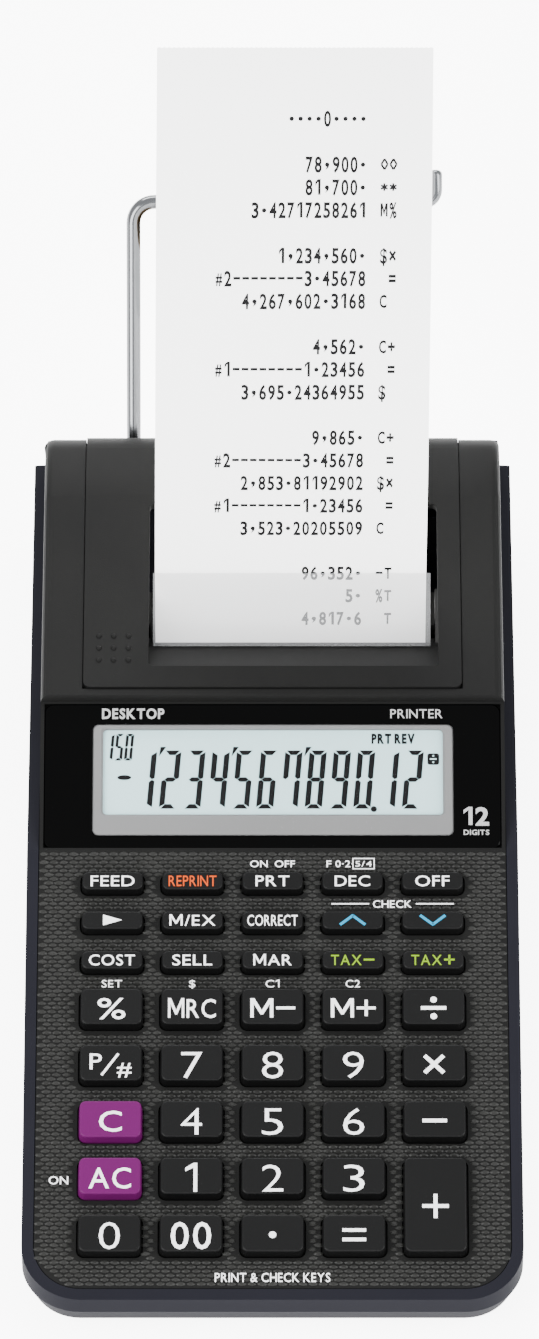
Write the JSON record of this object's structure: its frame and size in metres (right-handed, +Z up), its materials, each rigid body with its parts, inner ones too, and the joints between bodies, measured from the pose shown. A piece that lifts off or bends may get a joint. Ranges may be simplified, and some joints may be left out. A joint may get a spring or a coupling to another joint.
{
  "type": "printing desk calculator",
  "caption": "Desk calculator with a tilted display, a sloping keyboard, a built-in paper-tape printer and a folding wire arm that carries the paper roll.",
  "frame": {"origin": "on the desk plane under the four feet, below the middle of the casing's footprint", "axes": "+X to the user's right, +Y away from the user (the paper arm's side), +Z up"},
  "size_m": [0.102, 0.2692, 0.1421],
  "materials": {
    "lower_casing": "moulded, satin, blue-grey black",
    "upper_casing": "moulded, fine satin texture",
    "window": "polished, printed behind in black",
    "display": "liquid crystal panel with a grey frame",
    "clear_bar": "clear smoke-tinted plastic",
    "wire": "bright plated",
    "paper": "plain white bond",
    "board": "green solder mask",
    "mat": "translucent silicone",
    "cells": "printed sleeve",
    "contacts": "nickel plated spring steel",
    "frame_plastic": "natural grey",
    "roller_rubber": "plain black",
    "wheel_plastic": "black",
    "ink_felt": "inked felt",
    "motor_can": "drawn steel can",
    "screws": "zinc plated",
    "dark_keys": "moulded, satin",
    "purple_keys": "moulded, satin"
  },
  "bodies": {
    "casing": {"lower_case": "lower_casing", "upper_case": "upper_casing", "display_window": "window", "lcd_panel": "display", "paper_tape": "paper", "circuit_board": "board", "key_mat": "mat", "batteries": "cells", "battery_contacts": "contacts", "printer_frame": "frame_plastic", "print_motor": "motor_can", "case_screws": "screws", "rubber_feet": "roller_rubber"},
    "cover": {"printer_cover": "upper_casing", "tear_bar": "clear_bar"},
    "arm": {"paper_arm": "wire"},
    "roll": {"paper_roll": "paper"},
    "door": {"battery_door": "lower_casing"},
    "feed_roller": {"feed_roller": "roller_rubber"},
    "type_wheel": {"type_wheel": "wheel_plastic"},
    "ink_roller": {"ink_roller": "ink_felt"},
    "key_feed": {"key_feed": "dark_keys"},
    "key_reprint": {"key_reprint": "dark_keys"},
    "key_print": {"key_print": "dark_keys"},
    "key_decimals": {"key_decimals": "dark_keys"},
    "key_off": {"key_off": "dark_keys"},
    "key_shift_right": {"key_shift_right": "dark_keys"},
    "key_memory_exchange": {"key_memory_exchange": "dark_keys"},
    "key_correct": {"key_correct": "dark_keys"},
    "key_check_up": {"key_check_up": "dark_keys"},
    "key_check_down": {"key_check_down": "dark_keys"},
    "key_cost": {"key_cost": "dark_keys"},
    "key_sell": {"key_sell": "dark_keys"},
    "key_margin": {"key_margin": "dark_keys"},
    "key_tax_minus": {"key_tax_minus": "dark_keys"},
    "key_tax_plus": {"key_tax_plus": "dark_keys"},
    "key_percent": {"key_percent": "dark_keys"},
    "key_memory_recall": {"key_memory_recall": "dark_keys"},
    "key_memory_minus": {"key_memory_minus": "dark_keys"},
    "key_memory_plus": {"key_memory_plus": "dark_keys"},
    "key_divide": {"key_divide": "dark_keys"},
    "key_non_add": {"key_non_add": "dark_keys"},
    "key_7": {"key_7": "dark_keys"},
    "key_8": {"key_8": "dark_keys"},
    "key_9": {"key_9": "dark_keys"},
    "key_multiply": {"key_multiply": "dark_keys"},
    "key_clear": {"key_clear": "purple_keys"},
    "key_4": {"key_4": "dark_keys"},
    "key_5": {"key_5": "dark_keys"},
    "key_6": {"key_6": "dark_keys"},
    "key_subtract": {"key_subtract": "dark_keys"},
    "key_all_clear": {"key_all_clear": "purple_keys"},
    "key_1": {"key_1": "dark_keys"},
    "key_2": {"key_2": "dark_keys"},
    "key_3": {"key_3": "dark_keys"},
    "key_add": {"key_add": "dark_keys"},
    "key_0": {"key_0": "dark_keys"},
    "key_00": {"key_00": "dark_keys"},
    "key_point": {"key_point": "dark_keys"},
    "key_equals": {"key_equals": "dark_keys"}
  },
  "joints": [
    {"name": "cover_lift", "type": "slide", "parent": "casing", "child": "cover", "axis": [0, 0, 1], "range_m": [0, 0.022]},
    {"name": "door_slide", "type": "slide", "parent": "casing", "child": "door", "axis": [0, 1, 0], "range_m": [0, 0.07]},
    {"name": "arm_fold", "type": "hinge", "parent": "casing", "child": "arm", "pos_m": [0, 0.097, 0.019], "axis": [1, 0, 0], "range_deg": [-40, 0]},
    {"name": "roll_spin", "type": "hinge", "parent": "arm", "child": "roll", "pos_m": [0, 0.14271, 0.06173], "axis": [1, 0, 0], "continuous": true},
    {"name": "feed_spin", "type": "hinge", "parent": "casing", "child": "feed_roller", "pos_m": [0, 0.0565, 0.027], "axis": [1, 0, 0], "continuous": true},
    {"name": "type_spin", "type": "hinge", "parent": "casing", "child": "type_wheel", "pos_m": [0, 0.0466, 0.0265], "axis": [1, 0, 0], "continuous": true},
    {"name": "ink_spin", "type": "hinge", "parent": "casing", "child": "ink_roller", "pos_m": [0, 0.0384, 0.0302], "axis": [1, 0, 0], "continuous": true},
    {"name": "key_feed_press", "type": "slide", "parent": "casing", "child": "key_feed", "axis": [0, 0.1564, -0.9877], "range_m": [0, 0.0012], "stiffness_N_per_m": 400, "springref_m": -0.0005},
    {"name": "key_reprint_press", "type": "slide", "parent": "casing", "child": "key_reprint", "axis": [0, 0.1564, -0.9877], "range_m": [0, 0.0012], "stiffness_N_per_m": 400, "springref_m": -0.0005},
    {"name": "key_print_press", "type": "slide", "parent": "casing", "child": "key_print", "axis": [0, 0.1564, -0.9877], "range_m": [0, 0.0012], "stiffness_N_per_m": 400, "springref_m": -0.0005},
    {"name": "key_decimals_press", "type": "slide", "parent": "casing", "child": "key_decimals", "axis": [0, 0.1564, -0.9877], "range_m": [0, 0.0012], "stiffness_N_per_m": 400, "springref_m": -0.0005},
    {"name": "key_off_press", "type": "slide", "parent": "casing", "child": "key_off", "axis": [0, 0.1564, -0.9877], "range_m": [0, 0.0012], "stiffness_N_per_m": 400, "springref_m": -0.0005},
    {"name": "key_shift_right_press", "type": "slide", "parent": "casing", "child": "key_shift_right", "axis": [0, 0.1564, -0.9877], "range_m": [0, 0.0012], "stiffness_N_per_m": 400, "springref_m": -0.0005},
    {"name": "key_memory_exchange_press", "type": "slide", "parent": "casing", "child": "key_memory_exchange", "axis": [0, 0.1564, -0.9877], "range_m": [0, 0.0012], "stiffness_N_per_m": 400, "springref_m": -0.0005},
    {"name": "key_correct_press", "type": "slide", "parent": "casing", "child": "key_correct", "axis": [0, 0.1564, -0.9877], "range_m": [0, 0.0012], "stiffness_N_per_m": 400, "springref_m": -0.0005},
    {"name": "key_check_up_press", "type": "slide", "parent": "casing", "child": "key_check_up", "axis": [0, 0.1564, -0.9877], "range_m": [0, 0.0012], "stiffness_N_per_m": 400, "springref_m": -0.0005},
    {"name": "key_check_down_press", "type": "slide", "parent": "casing", "child": "key_check_down", "axis": [0, 0.1564, -0.9877], "range_m": [0, 0.0012], "stiffness_N_per_m": 400, "springref_m": -0.0005},
    {"name": "key_cost_press", "type": "slide", "parent": "casing", "child": "key_cost", "axis": [0, 0.1564, -0.9877], "range_m": [0, 0.0012], "stiffness_N_per_m": 400, "springref_m": -0.0005},
    {"name": "key_sell_press", "type": "slide", "parent": "casing", "child": "key_sell", "axis": [0, 0.1564, -0.9877], "range_m": [0, 0.0012], "stiffness_N_per_m": 400, "springref_m": -0.0005},
    {"name": "key_margin_press", "type": "slide", "parent": "casing", "child": "key_margin", "axis": [0, 0.1564, -0.9877], "range_m": [0, 0.0012], "stiffness_N_per_m": 400, "springref_m": -0.0005},
    {"name": "key_tax_minus_press", "type": "slide", "parent": "casing", "child": "key_tax_minus", "axis": [0, 0.1564, -0.9877], "range_m": [0, 0.0012], "stiffness_N_per_m": 400, "springref_m": -0.0005},
    {"name": "key_tax_plus_press", "type": "slide", "parent": "casing", "child": "key_tax_plus", "axis": [0, 0.1564, -0.9877], "range_m": [0, 0.0012], "stiffness_N_per_m": 400, "springref_m": -0.0005},
    {"name": "key_percent_press", "type": "slide", "parent": "casing", "child": "key_percent", "axis": [0, 0.1564, -0.9877], "range_m": [0, 0.0012], "stiffness_N_per_m": 400, "springref_m": -0.0005},
    {"name": "key_memory_recall_press", "type": "slide", "parent": "casing", "child": "key_memory_recall", "axis": [0, 0.1564, -0.9877], "range_m": [0, 0.0012], "stiffness_N_per_m": 400, "springref_m": -0.0005},
    {"name": "key_memory_minus_press", "type": "slide", "parent": "casing", "child": "key_memory_minus", "axis": [0, 0.1564, -0.9877], "range_m": [0, 0.0012], "stiffness_N_per_m": 400, "springref_m": -0.0005},
    {"name": "key_memory_plus_press", "type": "slide", "parent": "casing", "child": "key_memory_plus", "axis": [0, 0.1564, -0.9877], "range_m": [0, 0.0012], "stiffness_N_per_m": 400, "springref_m": -0.0005},
    {"name": "key_divide_press", "type": "slide", "parent": "casing", "child": "key_divide", "axis": [0, 0.1564, -0.9877], "range_m": [0, 0.0012], "stiffness_N_per_m": 400, "springref_m": -0.0005},
    {"name": "key_non_add_press", "type": "slide", "parent": "casing", "child": "key_non_add", "axis": [0, 0.1564, -0.9877], "range_m": [0, 0.0012], "stiffness_N_per_m": 400, "springref_m": -0.0005},
    {"name": "key_7_press", "type": "slide", "parent": "casing", "child": "key_7", "axis": [0, 0.1564, -0.9877], "range_m": [0, 0.0012], "stiffness_N_per_m": 400, "springref_m": -0.0005},
    {"name": "key_8_press", "type": "slide", "parent": "casing", "child": "key_8", "axis": [0, 0.1564, -0.9877], "range_m": [0, 0.0012], "stiffness_N_per_m": 400, "springref_m": -0.0005},
    {"name": "key_9_press", "type": "slide", "parent": "casing", "child": "key_9", "axis": [0, 0.1564, -0.9877], "range_m": [0, 0.0012], "stiffness_N_per_m": 400, "springref_m": -0.0005},
    {"name": "key_multiply_press", "type": "slide", "parent": "casing", "child": "key_multiply", "axis": [0, 0.1564, -0.9877], "range_m": [0, 0.0012], "stiffness_N_per_m": 400, "springref_m": -0.0005},
    {"name": "key_clear_press", "type": "slide", "parent": "casing", "child": "key_clear", "axis": [0, 0.1564, -0.9877], "range_m": [0, 0.0012], "stiffness_N_per_m": 400, "springref_m": -0.0005},
    {"name": "key_4_press", "type": "slide", "parent": "casing", "child": "key_4", "axis": [0, 0.1564, -0.9877], "range_m": [0, 0.0012], "stiffness_N_per_m": 400, "springref_m": -0.0005},
    {"name": "key_5_press", "type": "slide", "parent": "casing", "child": "key_5", "axis": [0, 0.1564, -0.9877], "range_m": [0, 0.0012], "stiffness_N_per_m": 400, "springref_m": -0.0005},
    {"name": "key_6_press", "type": "slide", "parent": "casing", "child": "key_6", "axis": [0, 0.1564, -0.9877], "range_m": [0, 0.0012], "stiffness_N_per_m": 400, "springref_m": -0.0005},
    {"name": "key_subtract_press", "type": "slide", "parent": "casing", "child": "key_subtract", "axis": [0, 0.1564, -0.9877], "range_m": [0, 0.0012], "stiffness_N_per_m": 400, "springref_m": -0.0005},
    {"name": "key_all_clear_press", "type": "slide", "parent": "casing", "child": "key_all_clear", "axis": [0, 0.1564, -0.9877], "range_m": [0, 0.0012], "stiffness_N_per_m": 400, "springref_m": -0.0005},
    {"name": "key_1_press", "type": "slide", "parent": "casing", "child": "key_1", "axis": [0, 0.1564, -0.9877], "range_m": [0, 0.0012], "stiffness_N_per_m": 400, "springref_m": -0.0005},
    {"name": "key_2_press", "type": "slide", "parent": "casing", "child": "key_2", "axis": [0, 0.1564, -0.9877], "range_m": [0, 0.0012], "stiffness_N_per_m": 400, "springref_m": -0.0005},
    {"name": "key_3_press", "type": "slide", "parent": "casing", "child": "key_3", "axis": [0, 0.1564, -0.9877], "range_m": [0, 0.0012], "stiffness_N_per_m": 400, "springref_m": -0.0005},
    {"name": "key_add_press", "type": "slide", "parent": "casing", "child": "key_add", "axis": [0, 0.1564, -0.9877], "range_m": [0, 0.0012], "stiffness_N_per_m": 400, "springref_m": -0.0005},
    {"name": "key_0_press", "type": "slide", "parent": "casing", "child": "key_0", "axis": [0, 0.1564, -0.9877], "range_m": [0, 0.0012], "stiffness_N_per_m": 400, "springref_m": -0.0005},
    {"name": "key_00_press", "type": "slide", "parent": "casing", "child": "key_00", "axis": [0, 0.1564, -0.9877], "range_m": [0, 0.0012], "stiffness_N_per_m": 400, "springref_m": -0.0005},
    {"name": "key_point_press", "type": "slide", "parent": "casing", "child": "key_point", "axis": [0, 0.1564, -0.9877], "range_m": [0, 0.0012], "stiffness_N_per_m": 400, "springref_m": -0.0005},
    {"name": "key_equals_press", "type": "slide", "parent": "casing", "child": "key_equals", "axis": [0, 0.1564, -0.9877], "range_m": [0, 0.0012], "stiffness_N_per_m": 400, "springref_m": -0.0005}
  ]
}
